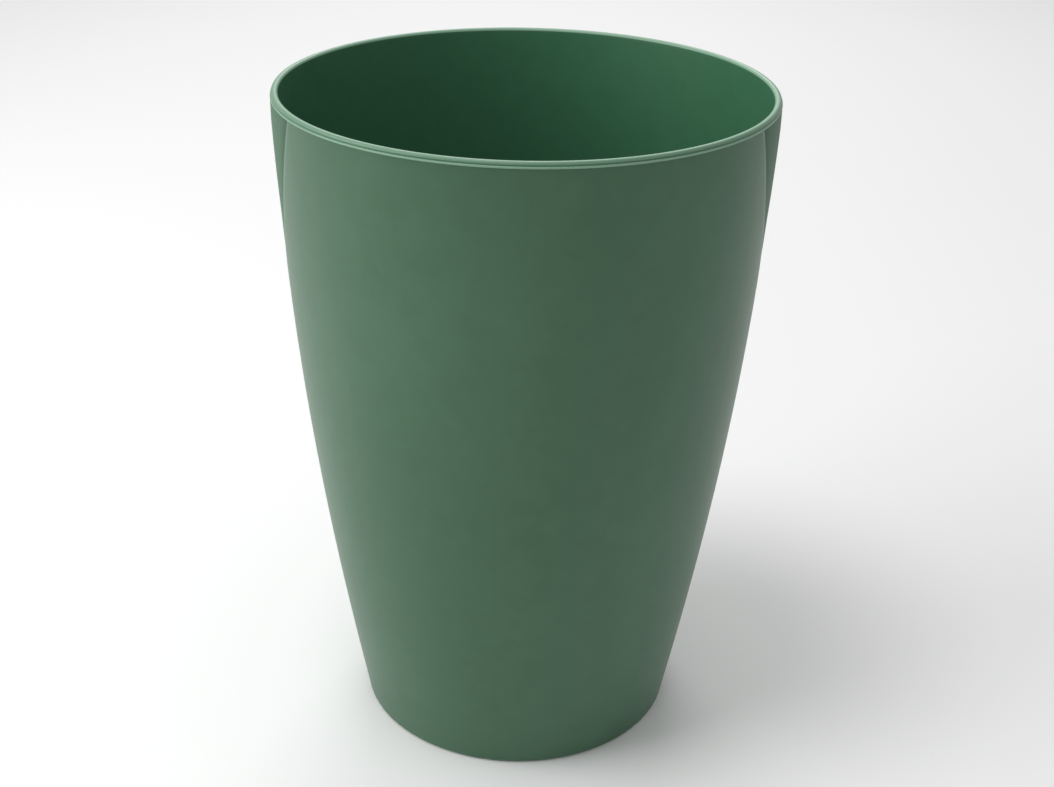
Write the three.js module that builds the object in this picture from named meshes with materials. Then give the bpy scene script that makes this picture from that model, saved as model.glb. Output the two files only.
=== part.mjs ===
// Florist bucket: one hollow plastic moulding with a stepped rim, a bowed wall,
// a V-shaped grip panel on each side and a foot ring round a recessed underside.
// Millimetres, +Z up. The origin is the middle of the foot ring's resting plane.
// The grips lie on +X and -X; azimuths turn from -Y (the front) towards +X.

import * as THREE from "three";

// Driving sizes
const height = 300;
const footRadius = 73.4;
const wallTopRadius = 106.6;
const wallThickness = 2.6;

// The wall bows outwards: the radii of the curve's two inner control points, which
// stand at a third and two thirds of the height, so that height runs evenly along it
const bowLowRadius = 92.4;
const bowHighRadius = 105.9;

// Rim: a rounded flat ring on top, a small step down, then a thin lip all round
const lipRadius = 107.3;
const rimRadius = 106.9;
const rimOuterFillet = 1.2;
const rimInnerFillet = 1;
const rimDepth = 2.7;
const lipTopDrop = 1.7;
const lipThickness = 0.9;
const lipBevel = 0.3;

// Foot and floor
const footFillet = 2.4;
const footRingWidth = 4.5;
const footRingDraft = 0.6;
const undersideRecess = 3;
const floorThickness = 3;
const floorCorner = 8;
const gateRadius = 4;
const gateHeight = 0.8;

// Side grips: a V whose half width at the rim closes over its length. The middle is flat
// and stands proud just under the lip; from there each side falls to a crease at the wall
const gripHalfWidth = 50.5;
const gripLength = 126;
const gripCreaseDepth = 1.5;
const gripCreaseFade = 0.7;
const gripProud = 1;
const gripProudLength = 52;
const gripUnderLip = 0.05;
const gripFlatShare = 0.42;
const gripStepWidth = 0.8;
const gripTipHalfWidth = 6;

// Facets
const columns = 72;
const wallRows = 14;
const cornerRows = 4;
const filletRows = 2;
const gripColumns = 5;
const eighthColumns = columns / 8;

const lipTop = height - lipTopDrop;
const lipBottom = lipTop - lipThickness;
const floorTop = undersideRecess + floorThickness;
const quarterTurn = Math.PI / 2;

const plastic = new THREE.MeshStandardMaterial({
  name: "sage_plastic",
  color: 0x567f63,
  roughness: 0.45,
  metalness: 0,
});

// The radius of the smooth outer wall at a height
function wallRadius(z) {
  const s = THREE.MathUtils.clamp(z / height, 0, 1);
  const q = 1 - s;
  return (
    footRadius * q ** 3 +
    3 * bowLowRadius * q * q * s +
    3 * bowHighRadius * q * s * s +
    wallTopRadius * s ** 3
  );
}

// Points of a round corner from one direction to another, both ends included
function arc(centreR, centreZ, radius, fromAngle, toAngle, rows) {
  const points = [];
  for (let i = 0; i <= rows; i += 1) {
    const angle = THREE.MathUtils.lerp(fromAngle, toAngle, i / rows);
    points.push(
      new THREE.Vector2(centreR + radius * Math.cos(angle), centreZ + radius * Math.sin(angle)),
    );
  }
  return points;
}

// Points up or down the wall at an inset from its outer face, both ends included
function wallRun(fromZ, toZ, inset) {
  const points = [];
  for (let i = 0; i <= wallRows; i += 1) {
    const z = THREE.MathUtils.lerp(fromZ, toZ, i / wallRows);
    points.push(new THREE.Vector2(wallRadius(z) - inset, z));
  }
  return points;
}

// The underside from the axis out to the foot's rounded edge
function undersideProfile() {
  const ringInner = footRadius - footRingWidth;
  return [
    new THREE.Vector2(0, undersideRecess - gateHeight),
    new THREE.Vector2(gateRadius, undersideRecess - gateHeight),
    new THREE.Vector2(gateRadius, undersideRecess),
    new THREE.Vector2(ringInner - footRingDraft, undersideRecess),
    new THREE.Vector2(ringInner, 0),
    ...arc(wallRadius(footFillet) - footFillet, footFillet, footFillet, -quarterTurn, 0, filletRows + 1),
  ];
}

// The lip, the step and the rounded top ring, from the wall's outside to its inside
function rimProfile() {
  const outerCentre = rimRadius - rimOuterFillet;
  const innerCentre = wallRadius(height) - wallThickness + rimInnerFillet;
  return [
    new THREE.Vector2(lipRadius - lipBevel, lipBottom),
    new THREE.Vector2(lipRadius, lipBottom + lipBevel),
    new THREE.Vector2(lipRadius, lipTop - lipBevel),
    new THREE.Vector2(lipRadius - lipBevel, lipTop),
    new THREE.Vector2(rimRadius, lipTop),
    ...arc(outerCentre, height - rimOuterFillet, rimOuterFillet, 0, quarterTurn, filletRows + 1),
    ...arc(innerCentre, height - rimInnerFillet, rimInnerFillet, quarterTurn, Math.PI, filletRows),
  ];
}

// The inside, from under the rim down to the middle of the floor
function insideProfile() {
  const cornerTop = floorTop + floorCorner;
  const cornerCentre = wallRadius(cornerTop) - wallThickness - floorCorner;
  const wall = wallRun(height - rimDepth, cornerTop, wallThickness);
  const corner = arc(cornerCentre, cornerTop, floorCorner, 0, -quarterTurn, cornerRows);
  return [...wall, ...corner.slice(1), new THREE.Vector2(0, floorTop)];
}

// How far open the V is at a height: 1 under the rim, 0 at its tip and below
function gripOpening(z) {
  return THREE.MathUtils.clamp(1 - (height - z) / gripLength, 0, 1);
}

// The angle off the grip's middle at which a column of facets stands at a height.
// The first columns share the panel, the next marks the wall's edge beside the crease
// and the rest spread out to where the plain wall's even spacing takes over.
function columnAngle(column, z) {
  const spread = Math.PI / 4;
  const radius = wallRadius(z);
  const halfWidth = Math.max(gripTipHalfWidth, gripHalfWidth * gripOpening(z));
  if (column <= gripColumns) {
    return Math.asin((halfWidth * column) / gripColumns / radius);
  }
  const edge = Math.asin((halfWidth + gripStepWidth) / radius);
  const share = (column - gripColumns - 1) / (eighthColumns - gripColumns - 1);
  return THREE.MathUtils.lerp(edge, spread, share);
}

// How far the grip moves the outer face at a column: proud in the middle of the panel, but
// no further than the lip, falling in a shallow crown to the crease at its edge
function gripOffset(column, z) {
  if (column > gripColumns) {
    return 0;
  }
  const fade = Math.max(0, 1 - (height - z) / gripProudLength);
  const proud = Math.min(gripProud * fade, lipRadius - gripUnderLip - wallRadius(z));
  const depth = gripCreaseDepth * gripOpening(z) ** gripCreaseFade;
  const fall = Math.max(0, column / gripColumns - gripFlatShare) / (1 - gripFlatShare);
  return proud - (proud + depth) * fall * fall;
}

function bucketShell() {
  const underside = undersideProfile();
  const outside = wallRun(footFillet, lipBottom, 0).slice(1);
  const profile = [...underside, ...outside, ...rimProfile(), ...insideProfile()];
  const firstOutside = underside.length;
  const lastOutside = firstOutside + outside.length - 1;

  const geometry = new THREE.LatheGeometry(profile, columns);
  const position = geometry.getAttribute("position");
  const quarterColumns = 2 * eighthColumns;
  for (let i = 0; i < position.count; i += 1) {
    const point = i % profile.length;
    const turn = Math.floor(i / profile.length) % columns;
    const side = turn < columns / 2 ? quarterColumns : 3 * quarterColumns;
    const column = Math.abs(turn - side);
    if (column < eighthColumns) {
      const z = profile[point].y;
      const onOutside = point >= firstOutside && point <= lastOutside;
      const radius = profile[point].x + (onOutside ? gripOffset(column, z) : 0);
      const azimuth = (side / columns) * 2 * Math.PI + Math.sign(turn - side) * columnAngle(column, z);
      position.setXYZ(i, radius * Math.sin(azimuth), z, radius * Math.cos(azimuth));
    }
  }
  geometry.rotateX(quarterTurn);
  const mesh = new THREE.Mesh(geometry, plastic);
  mesh.name = "bucket_shell";
  return mesh;
}

const bucket = new THREE.Group();
bucket.add(bucketShell());

export default bucket;
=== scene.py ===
from math import asin, atan2, cos, hypot, pi, radians, sin, sqrt

import bmesh
import bpy
from mathutils import Matrix, Vector


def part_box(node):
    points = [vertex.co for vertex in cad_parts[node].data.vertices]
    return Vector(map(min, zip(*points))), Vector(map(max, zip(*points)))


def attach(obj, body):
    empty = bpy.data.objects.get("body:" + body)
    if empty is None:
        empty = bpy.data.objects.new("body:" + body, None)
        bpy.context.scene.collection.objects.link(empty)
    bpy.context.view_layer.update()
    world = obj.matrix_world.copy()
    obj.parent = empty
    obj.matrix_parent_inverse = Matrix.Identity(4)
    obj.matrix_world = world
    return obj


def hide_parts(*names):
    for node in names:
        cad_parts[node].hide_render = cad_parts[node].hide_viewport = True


# Florist bucket in sage green plastic. The frame is in metres, the sizes below in millimetres.
# Azimuths turn from -Y, the front, towards +X. The grips lie on +X and -X.

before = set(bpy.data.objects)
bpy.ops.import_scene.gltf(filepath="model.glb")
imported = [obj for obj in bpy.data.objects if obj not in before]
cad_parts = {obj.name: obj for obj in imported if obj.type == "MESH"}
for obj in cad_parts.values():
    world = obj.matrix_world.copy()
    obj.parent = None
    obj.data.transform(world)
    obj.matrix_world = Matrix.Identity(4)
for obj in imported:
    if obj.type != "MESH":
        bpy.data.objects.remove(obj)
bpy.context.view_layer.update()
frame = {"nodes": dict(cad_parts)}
scene = bpy.context.scene
mm = 0.001
quarterTurn = pi / 2
near = 0.04  # a vertex this close to a surface counts as on it
print("frame loaded:", ", ".join(frame["nodes"]))

cadLow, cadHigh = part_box("bucket_shell")
height = (cadHigh.z - cadLow.z) / mm
lipRadius = (cadHigh.y - cadLow.y) / 2 / mm

# Camera: distances are in lip radii, measured from the bucket's axis and from the rim
view = {
    "lens": 53.07,
    "sensor": 36,
    "farthest": 50,  # metres
    "distance": 6.022,
    "rise": 1.597,
    "pitch": 26.09,
    "yaw": -0.25,
    "roll": 1.19,
}


def makeCamera():
    data = bpy.data.cameras.new("camera")
    data.lens = view["lens"]
    data.sensor_width = view["sensor"]
    data.clip_end = view["farthest"]
    camera = bpy.data.objects.new("camera", data)
    scene.collection.objects.link(camera)
    turn = Matrix.Rotation(radians(view["yaw"]), 4, "Z")
    tilt = Matrix.Rotation(quarterTurn - radians(view["pitch"]), 4, "X")
    lean = Matrix.Rotation(radians(view["roll"]), 4, "Z")
    radius = lipRadius * mm
    stand = Vector((0, -view["distance"] * radius, cadHigh.z + view["rise"] * radius))
    camera.matrix_world = Matrix.Translation(stand) @ turn @ tilt @ lean
    scene.camera = camera


makeCamera()
print("camera set")

# Light: a pale room, a large soft key at the left, a soft one overhead and one behind.
# Rise is above the floor and distance from the bucket's axis, both in metres.
room = {"colour": (1.0, 1.0, 1.0, 1), "strength": 0.45}
lights = {
    "key": {"azimuth": -77, "rise": 0.75, "distance": 1.3, "size": 1.2, "power": 11.0},
    "top": {"azimuth": -60, "rise": 1.7, "distance": 0.4, "size": 0.6, "power": 6.8},
    "back": {"azimuth": 180, "rise": 1.6, "distance": 1.8, "size": 1.5, "power": 14.0},
}


def makeLight(name, values):
    data = bpy.data.lights.new(name, "AREA")
    data.shape = "DISK"
    data.size = values["size"]
    data.energy = values["power"]
    lamp = bpy.data.objects.new(name, data)
    scene.collection.objects.link(lamp)
    azimuth = radians(values["azimuth"])
    flat = Vector((sin(azimuth), -cos(azimuth), 0)) * values["distance"]
    lamp.location = flat + Vector((0, 0, values["rise"]))
    aim = Vector((0, 0, height * mm / 2))
    lamp.rotation_mode = "QUATERNION"
    lamp.rotation_quaternion = (aim - lamp.location).to_track_quat("-Z", "Y")


def makeRoom():
    world = bpy.data.worlds.new("room")
    world.use_nodes = True
    background = world.node_tree.nodes["Background"]
    background.inputs["Color"].default_value = room["colour"]
    background.inputs["Strength"].default_value = room["strength"]
    scene.world = world
    scene.view_settings.view_transform = "Standard"


makeRoom()
for name, values in lights.items():
    makeLight(name, values)
print("lights set:", len(lights))


# Wraps a shader socket, so that expressions on values build their own Math nodes
class Wire:
    def __init__(self, tree, socket=None):
        self.tree = tree
        self.socket = socket

    def node(self, kind, settings=(), sockets=(), out=0):
        made = self.tree.nodes.new(kind)
        for name, value in dict(settings).items():
            setattr(made, name, value)
        for name, value in dict(sockets).items():
            if isinstance(value, Wire):
                self.tree.links.new(value.socket, made.inputs[name])
            else:
                made.inputs[name].default_value = value
        return Wire(self.tree, made.outputs[out])

    def maths(self, operation, first, second):
        return self.node("ShaderNodeMath", {"operation": operation}, {0: first, 1: second})

    def __add__(self, other):
        return self.maths("ADD", self, other)

    __radd__ = __add__

    def __mul__(self, other):
        return self.maths("MULTIPLY", self, other)

    __rmul__ = __mul__

    def __sub__(self, other):
        return self.maths("SUBTRACT", self, other)

    def __rsub__(self, other):
        return self.maths("SUBTRACT", other, self)

    def ramp(self, low, high):  # 0 below low, 1 above high, eased between
        return self.node(
            "ShaderNodeMapRange",
            {"interpolation_type": "SMOOTHSTEP"},
            {"Value": self, "From Min": low, "From Max": high},
        )

    def feed(self, socket):
        self.tree.links.new(self.socket, socket)


def noise(start, place, values):
    return start.node("ShaderNodeTexNoise", {}, {"Vector": place, **values}, out="Fac")


def mixColour(start, share, first, second):
    return start.node(
        "ShaderNodeMix", {"data_type": "RGBA"}, {0: share, 6: first, 7: second}, out=2
    )


# Sage plastic: satin, with faint pigment clouds and a fine moulded grain, matter grips
# with painted shade in the crease and a painted highlight on the edge beside it, painted
# light on the ring and lip with a painted shadow line in the step between them, painted
# bounce light as a deeper green inside, and a foot ring that standing has scuffed.
# Scales are per metre and depths in metres; heights are in millimetres.
plastic = {
    "colour": (0.051, 0.129, 0.07, 1),
    "cloudColour": (0.058, 0.141, 0.079, 1),
    "innerBounceLightColour": (0.054, 0.178, 0.093, 1),
    "creasePaintedShade": (0.03, 0.075, 0.042, 1),
    "edgePaintedHighlight": (0.09, 0.195, 0.125, 1),
    "rimPaintedLight": (0.235, 0.41, 0.285, 1),
    "groovePaintedShadow": (0.065, 0.155, 0.09, 1),
    "scuffColour": (0.09, 0.18, 0.115, 1),
    "clouds": {"Scale": 9, "Detail": 4, "Roughness": 0.5},
    "cloudRange": (0.35, 0.65),  # the noise values between which a cloud comes in
    "mottle": {"Scale": 95, "Detail": 3, "Roughness": 0.6},
    "mottleDepth": 0.2,
    "ior": 1.4,
    "roughness": 0.39,
    "roughnessSpread": 0.06,
    "gripRoughness": 0.16,
    "rimRoughness": -0.06,
    "scuffRoughness": 0.2,
    "grain": {"Scale": 1900, "Detail": 2, "Roughness": 0.5},
    "grainDepth": 0.00002,
    "gripGrain": 2,  # how much deeper the grain is on the grips
    "waves": {"Scale": 14, "Detail": 1, "Roughness": 0.5},
    "waveDepth": 0.0004,
    "ringFade": 0.55,  # how far the ring's painted light fades across it, outwards from its inner edge
    # the share of the ring's painted light that the lip gets
    "lipShare": 0.83,
    "grooveRise": (-0.02, 0.1),  # heights above the lip's top where the painted shadow line comes in
    "grooveFall": (0.4, 0.8),  # and where it ends
    "grooveEdge": 0.2,  # how much of the rim's painted light a point needs for the whole painted shadow line
    "scratches": {"Scale": 260, "Detail": 5, "Roughness": 0.65},
    "scratchRange": (0.5, 0.62),
    "scuffShare": 0.6,
    "scuffFall": (0.6, 4.0),  # heights above the floor where the scuffs die out
}


def sagePlastic():
    material = bpy.data.materials.new("sagePlastic")
    material.use_nodes = True
    tree = material.node_tree
    shader = tree.nodes["Principled BSDF"]
    shader.inputs["IOR"].default_value = plastic["ior"]
    start = Wire(tree)
    place = start.node("ShaderNodeTexCoord", out="Object")
    rise = start.node("ShaderNodeSeparateXYZ", {}, {0: place}, out="Z")
    grip, crease, edge, rim, inner = (
        start.node("ShaderNodeAttribute", {"attribute_name": zone}, out="Fac")
        for zone in ("grip", "crease", "edge", "rim", "inner")
    )

    clouds, mottle, grain, waves, scratches = (
        noise(start, place, plastic[name])
        for name in ("clouds", "mottle", "grain", "waves", "scratches")
    )
    noiseMiddle = 0.5

    # where the painted shadow line lies in the step between ring and lip
    comesIn, ends = (
        rise.ramp(*((lipTop + z) * mm for z in plastic[name]))
        for name in ("grooveRise", "grooveFall")
    )
    groove = rim.ramp(0, plastic["grooveEdge"]) * comesIn * (1 - ends)
    foot = 1 - rise.ramp(*(z * mm for z in plastic["scuffFall"]))
    scuff = foot * scratches.ramp(*plastic["scratchRange"])

    cloudy = clouds.ramp(*plastic["cloudRange"])
    colour = mixColour(start, cloudy, plastic["colour"], plastic["cloudColour"])
    # painted bounce light: the inside tinted a deeper green
    colour = mixColour(start, inner, colour, plastic["innerBounceLightColour"])
    # painted shade in the grips' crease
    colour = mixColour(start, crease, colour, plastic["creasePaintedShade"])
    # painted highlight on the wall's rounded edge beside the crease
    colour = mixColour(start, edge, colour, plastic["edgePaintedHighlight"])
    shade = 1 + (mottle - noiseMiddle) * plastic["mottleDepth"]
    colour = start.node(
        "ShaderNodeVectorMath", {"operation": "SCALE"}, {0: colour, "Scale": shade}
    )
    # painted light on the ring and lip, palest at the ring's inner edge
    colour = mixColour(start, rim, colour, plastic["rimPaintedLight"])
    # painted shadow line in the step between ring and lip
    colour = mixColour(start, groove, colour, plastic["groovePaintedShadow"])
    colour = mixColour(start, scuff * plastic["scuffShare"], colour, plastic["scuffColour"])
    colour.feed(shader.inputs["Base Color"])

    rough = plastic["roughness"] + (scratches - noiseMiddle) * plastic["roughnessSpread"]
    rough = rough + grip * plastic["gripRoughness"] + rim * plastic["rimRoughness"]
    rough = rough + scuff * plastic["scuffRoughness"]
    rough.feed(shader.inputs["Roughness"])

    relief = grain * plastic["grainDepth"] * (1 + grip * plastic["gripGrain"])
    relief = relief + waves * plastic["waveDepth"]
    bump = start.node("ShaderNodeBump", {}, {"Height": relief, "Distance": 1.0}, out="Normal")
    bump.feed(shader.inputs["Normal"])
    return material


# The shell's sizes. The wall's outline is a curve through four radii: the foot, the
# bow's two control radii, which stand at a third and two thirds of the height, and the top.
shell = {
    "footRadius": 73.4,
    "bowLow": 92.4,
    "bowHigh": 105.9,
    "topRadius": 106.6,
    "wall": 2.6,
    "rimRadius": 106.9,
    "rimOuterFillet": 1.2,
    "rimInnerFillet": 1.3,
    "rimDepth": 2.7,
    "lipTopDrop": 1.7,
    "lipThickness": 0.9,
    "lipRound": 0.42,
    "footFillet": 2.4,
    "footRing": 4.5,
    "footDraft": 0.6,
    "footBevel": 0.2,
    "footBevelRise": 0.25,
    "wallStart": 1,  # the first row of the wall, above the foot's fillet
    "recess": 3,
    "recessBevel": 0.3,
    "recessBevelDrop": 0.2,
    "floor": 3,
    "floorCorner": 8,
    "gateRadius": 4,
    "gateHeight": 0.8,
    "columns": 288,
    "outsideRows": 96,
    "insideRows": 60,
    "arcRows": 6,
    "weld": 1e-6,  # metres
    "sharpAngle": 50,
}

# The grips: a V under the rim, its sides falling to a crease at the wall's rounded edge
grip = {
    "halfWidth": 50.5,
    "length": 126,
    "crease": 1.5,
    "creaseFade": 0.7,
    "proud": 1.0,
    "proudLength": 52,
    "underLip": 0.05,
    "flat": 0.42,
    "edgeRound": 1.1,
    "tipHalfWidth": 1.5,
    "panelColumns": 18,
    "edgeColumns": 6,
    "creaseColumns": 3,  # the width of the crease's painted shade
    "reach": 0.2,  # how far off the wall the outer face still counts as wall
    "tintRise": 6,  # how fast the tints come in above the V's tip
}

lipTop = height - shell["lipTopDrop"]
lipBottom = lipTop - shell["lipThickness"]
floorTop = shell["recess"] + shell["floor"]
gripSpread = pi / 4  # the angle each side of a grip's middle over which columns move
gripColumns = shell["columns"] // 8  # the columns within it


def wallRadius(z):
    s = min(max(z / height, 0), 1)
    q = 1 - s
    low = shell["footRadius"] * q**3 + 3 * shell["bowLow"] * q * q * s
    return low + 3 * shell["bowHigh"] * q * s * s + shell["topRadius"] * s**3


mouthRadius = wallRadius(height) - shell["wall"]


def arc(centreRadius, centreZ, radius, fromTurn, toTurn):
    rows = shell["arcRows"]
    turns = [fromTurn + (toTurn - fromTurn) * i / rows for i in range(rows + 1)]
    return [(centreRadius + radius * cos(t), centreZ + radius * sin(t)) for t in turns]


def wallRun(fromZ, toZ, inset, rows):
    heights = [fromZ + (toZ - fromZ) * i / rows for i in range(rows + 1)]
    return [(wallRadius(z) - inset, z) for z in heights]


# Radius and height all round the shell's section, from the middle of the underside
# out, up the wall, over the rim and down the inside to the middle of the floor
def shellOutline():
    fillet, bevel, lipRound = shell["footFillet"], shell["footBevel"], shell["lipRound"]
    outerFillet, innerFillet = shell["rimOuterFillet"], shell["rimInnerFillet"]
    gate, recess = shell["gateRadius"], shell["recess"]
    gateLow = recess - shell["gateHeight"]
    ringInner = shell["footRadius"] - shell["footRing"]
    recessEdge = ringInner - shell["footDraft"]
    corner = shell["floorCorner"]
    cornerTop = floorTop + corner
    cornerCentre = wallRadius(cornerTop) - shell["wall"] - corner
    return [
        (0, gateLow),
        (gate / 2, gateLow),
        (gate, gateLow),
        (gate, recess),
        (ringInner / 2, recess),
        (recessEdge - shell["recessBevel"], recess),
        (recessEdge, recess - shell["recessBevelDrop"]),
        (ringInner - bevel / 2, shell["footBevelRise"]),
        (ringInner + bevel, 0),
        *arc(wallRadius(fillet) - fillet, fillet, fillet, -quarterTurn, 0),
        *wallRun(fillet + shell["wallStart"], lipBottom, 0, shell["outsideRows"]),
        *arc(lipRadius - lipRound, lipBottom + lipRound, lipRound, -quarterTurn, 0),
        *arc(lipRadius - lipRound, lipTop - lipRound, lipRound, 0, quarterTurn),
        (shell["rimRadius"], lipTop),
        *arc(shell["rimRadius"] - outerFillet, height - outerFillet, outerFillet, 0, quarterTurn),
        *arc(mouthRadius + innerFillet, height - innerFillet, innerFillet, quarterTurn, pi),
        *wallRun(height - shell["rimDepth"], cornerTop, shell["wall"], shell["insideRows"]),
        *arc(cornerCentre, cornerTop, corner, 0, -quarterTurn)[1:],
        (cornerCentre / 2, floorTop),
        (0, floorTop),
    ]


def gripOpening(z):  # 1 under the rim, 0 at the V's tip
    return min(max(1 - (height - z) / grip["length"], 0), 1)


# Where a column of vertices stands at a height: the first ones share the panel, the next
# round the wall's edge beside the crease, the rest spread out to the plain wall's spacing
def columnPlace(column, z):
    panel, edge = grip["panelColumns"], grip["edgeColumns"]
    halfWidth = max(grip["tipHalfWidth"], grip["halfWidth"] * gripOpening(z))
    if column <= panel:
        return asin(halfWidth * column / panel / wallRadius(z))
    if column <= panel + edge:
        beyond = grip["edgeRound"] * (column - panel) / edge
        return asin((halfWidth + beyond) / wallRadius(z))
    fromAngle = asin((halfWidth + grip["edgeRound"]) / wallRadius(z))
    share = (column - panel - edge) / (gripColumns - panel - edge)
    return fromAngle + (gripSpread - fromAngle) * share


# How far a grip moves the outer face at a column: proud in the middle, but no further
# than the lip, down to the crease at the panel's side and up round the wall's edge
def gripOffset(column, z):
    panel, edge = grip["panelColumns"], grip["edgeColumns"]
    depth = grip["crease"] * gripOpening(z) ** grip["creaseFade"]
    fade = max(0, 1 - (height - z) / grip["proudLength"])
    proud = min(grip["proud"] * fade, lipRadius - grip["underLip"] - wallRadius(z))
    if column <= panel:
        fall = max(0, column / panel - grip["flat"]) / (1 - grip["flat"])
        return proud - (proud + depth) * fall * fall
    if column <= panel + edge:
        left = 1 - (column - panel) / edge
        return -depth * (1 - sqrt(1 - left * left))
    return 0


def spinShell():
    bm = bmesh.new()
    outline = [bm.verts.new((0, -r * mm, z * mm)) for r, z in shellOutline()]
    edges = [bm.edges.new(pair) for pair in zip(outline, outline[1:])]
    bmesh.ops.spin(
        bm,
        geom=outline + edges,
        cent=(0, 0, 0),
        axis=(0, 0, 1),
        angle=2 * pi,
        steps=shell["columns"],
        use_merge=True,
    )
    bmesh.ops.remove_doubles(bm, verts=bm.verts, dist=shell["weld"])
    return bm


# Marks the rim and the inside for the plastic: where it paints light on the ring and lip, palest
# at the ring's inner edge, and bounce light inside
def markZones(bm):
    rim = bm.verts.layers.float.new("rim")
    inner = bm.verts.layers.float.new("inner")
    flatStart = mouthRadius + shell["rimInnerFillet"]
    flatWidth = shell["rimRadius"] - flatStart
    for vert in bm.verts:
        radius, z = hypot(vert.co.x, vert.co.y) / mm, vert.co.z / mm
        if z > lipBottom - near and radius > shell["rimRadius"] + near:
            vert[rim] = plastic["lipShare"]
        elif z > lipTop - near and radius > mouthRadius + near:
            vert[rim] = 1 - plastic["ringFade"] * max(0, (radius - flatStart) / flatWidth)
        fromInside = radius - wallRadius(z) + shell["wall"]
        vert[inner] = float(z > floorTop - near and fromInside < 2 * near)


# Tints for a vertex on the outer face: the panel, the painted shade in its crease and the painted
# highlight on the edge beside it
def gripTints(column, z):
    shown = min(1, gripOpening(z) * grip["tintRise"])
    fromCrease = column - grip["panelColumns"]
    if fromCrease < grip["edgeColumns"] // 2:
        crease = max(0, 1 - abs(fromCrease) / grip["creaseColumns"])
        return shown, shown * crease, 0
    if fromCrease <= grip["edgeColumns"]:
        return 0, 0, shown
    return 0, 0, 0


def pressGrips(bm):
    layers = [bm.verts.layers.float.new(name) for name in ("grip", "crease", "edge")]
    columnsPerRadian = shell["columns"] / (2 * pi)
    for vert in bm.verts:
        x, y, z = vert.co / mm
        radius = hypot(x, y)
        side = 1 if x > 0 else -1
        fromSide = atan2(y, x * side)  # angle off the grip's middle
        column = round(abs(fromSide) * columnsPerRadian)
        if radius < near or column >= gripColumns:
            continue
        angle = columnPlace(column, z)
        if z < lipBottom + near and abs(radius - wallRadius(z)) < grip["reach"]:
            radius += gripOffset(column, z)
            for layer, tint in zip(layers, gripTints(column, z)):
                vert[layer] = tint
        along = sin(angle) * radius * (1 if fromSide > 0 else -1)
        vert.co = Vector((cos(angle) * radius * side, along, z)) * mm


def makeShell():
    bm = spinShell()
    markZones(bm)
    pressGrips(bm)
    bmesh.ops.recalc_face_normals(bm, faces=bm.faces)
    mesh = bpy.data.meshes.new("bucketShell")
    bm.to_mesh(mesh)
    bm.free()
    mesh.shade_smooth()
    mesh.set_sharp_from_angle(angle=radians(shell["sharpAngle"]))
    piece = bpy.data.objects.new("bucketShell", mesh)
    scene.collection.objects.link(piece)
    mesh.materials.append(sagePlastic())
    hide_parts("bucket_shell")
    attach(piece, "root")
    return piece


bucketShell = makeShell()
print("shell made:", len(bucketShell.data.polygons), "faces")

# Floor: a pale sweep, plain and matt
ground = {"size": 8.0, "colour": (0.97, 0.97, 0.97, 1), "roughness": 0.9}


def makeFloor():
    bm = bmesh.new()
    bmesh.ops.create_grid(bm, x_segments=1, y_segments=1, size=ground["size"] / 2)
    mesh = bpy.data.meshes.new("floor")
    bm.to_mesh(mesh)
    bm.free()
    floor = bpy.data.objects.new("floor", mesh)
    scene.collection.objects.link(floor)
    material = bpy.data.materials.new("floorPaint")
    material.use_nodes = True
    shader = material.node_tree.nodes["Principled BSDF"]
    shader.inputs["Base Color"].default_value = ground["colour"]
    shader.inputs["Roughness"].default_value = ground["roughness"]
    mesh.materials.append(material)


makeFloor()
print("floor laid")
